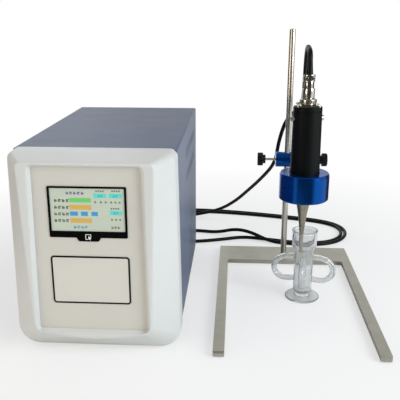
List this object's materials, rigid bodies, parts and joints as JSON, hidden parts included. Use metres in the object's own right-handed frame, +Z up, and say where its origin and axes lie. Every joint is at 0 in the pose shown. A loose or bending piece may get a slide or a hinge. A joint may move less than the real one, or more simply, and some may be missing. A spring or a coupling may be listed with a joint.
{
  "type": "bench-top ultrasonic homogenizer set",
  "caption": "Console with a touch screen, cabled to an ultrasonic transducer and horn held in a ring on a rod stand over a glass circulation vessel.",
  "frame": {"origin": "on the bench at the middle of the set's bounding box, cable left out", "axes": "+Z up; the console's screen and the stand's open end face -Y; the stand is on the +X side"},
  "size_m": [0.6126, 0.7515, 0.481],
  "materials": {
    "bezel": "fine satin, off-white",
    "panel": "warm pale grey enamel",
    "screen_glass": "gloss black cover glass",
    "display": "lit display",
    "plate": "satin label plate",
    "plate_black": "black edge",
    "cover": "semi-gloss blue-grey enamel",
    "sheet": "zinc-plated sheet",
    "board": "green board",
    "rubber": "matt",
    "screw": "nickel-plated",
    "black_plastic": "satin black",
    "nickel": "satin nickel",
    "rod": "polished",
    "blue": "blue anodised, turned",
    "knob": "gloss black",
    "black_anodised": "black anodised",
    "titanium": "turned titanium grey",
    "ceramic": "fired, matt",
    "brass": "plain",
    "copper": "enamelled wire",
    "iron": "varnished laminations",
    "alloy": "extruded",
    "glass": "clear borosilicate",
    "cable": "satin black jacket"
  },
  "bodies": {
    "console_and_stand": {"front_bezel": "bezel", "front_panel": "panel", "touchscreen_frame": "screen_glass", "touchscreen_display": "display", "display_board": "board", "blank_plate_outline": "plate_black", "blank_plate": "plate", "cover_shell": "cover", "chassis_tray": "sheet", "rear_panel": "cover", "rubber_feet": "rubber", "cover_screws": "screw", "fan_frame": "black_plastic", "fan_guard": "screw", "fan_screws": "screw", "output_socket": "nickel", "rear_plug": "black_plastic", "mains_inlet": "black_plastic", "switch_housing": "black_plastic", "power_board": "board", "board_standoffs": "brass", "capacitors": "black_plastic", "heat_sink": "alloy", "transformer_core": "iron", "transformer_winding": "copper", "base_frame": "nickel", "base_pads": "rubber", "stand_rod": "rod", "rod_fixing_screw": "screw", "cell_body": "glass", "loop_arms": "glass", "transducer_cable": "cable"},
    "clamp": {"clamp_block": "blue"},
    "rod_screw": {"rod_screw_knob": "knob", "rod_screw_stud": "screw"},
    "arm_screw": {"arm_screw_knob": "knob", "arm_screw_stud": "screw"},
    "holder": {"holder_arm": "rod", "holder_ring": "blue", "ring_set_screws": "screw", "transducer_housing": "black_anodised", "housing_screws": "screw", "housing_cap": "black_anodised", "horn": "titanium", "piezo_rings": "ceramic", "electrode_plates": "brass", "back_mass": "sheet", "preload_bolt": "screw", "socket_flange": "nickel", "socket_screws": "screw", "plug_body": "nickel", "gland_nut": "nickel", "cable_saddle": "nickel", "saddle_screws": "screw", "strain_relief_boot": "rubber"},
    "coupling_ring": {"coupling_ring": "nickel"},
    "rear_ring": {"rear_coupling_ring": "nickel"},
    "fan": {"fan_rotor": "black_plastic"},
    "rocker": {"power_rocker": "knob"}
  },
  "joints": [
    {"name": "clamp_height", "type": "slide", "parent": "console_and_stand", "child": "clamp", "axis": [0, 0, 1], "range_m": [-0.03, 0.2], "deforming": ["transducer_cable"]},
    {"name": "rod_screw_turn", "type": "hinge", "parent": "clamp", "child": "rod_screw", "pos_m": [0.12543, 0.18, 0.22], "axis": [1, 0, 0], "continuous": true},
    {"name": "arm_screw_turn", "type": "hinge", "parent": "clamp", "child": "arm_screw", "pos_m": [0.21543, 0.18, 0.22], "axis": [1, 0, 0], "continuous": true},
    {"name": "arm_reach", "type": "slide", "parent": "clamp", "child": "holder", "axis": [0, 1, 0], "range_m": [-0.006, 0.006], "deforming": ["transducer_cable"]},
    {"name": "coupling_ring_turn", "type": "hinge", "parent": "holder", "child": "coupling_ring", "pos_m": [0.17063, -0.009, 0.3655], "axis": [0, 0, 1], "continuous": true},
    {"name": "rear_ring_turn", "type": "hinge", "parent": "console_and_stand", "child": "rear_ring", "pos_m": [-0.21257, 0.2505, 0.112], "axis": [0, 1, 0], "continuous": true},
    {"name": "fan_spin", "type": "hinge", "parent": "console_and_stand", "child": "fan", "pos_m": [-0.10457, 0.225, 0.222], "axis": [0, 1, 0], "continuous": true},
    {"name": "power_switch", "type": "hinge", "parent": "console_and_stand", "child": "rocker", "pos_m": [-0.10057, 0.238, 0.096], "axis": [1, 0, 0], "range_deg": [-24, 0]}
  ]
}
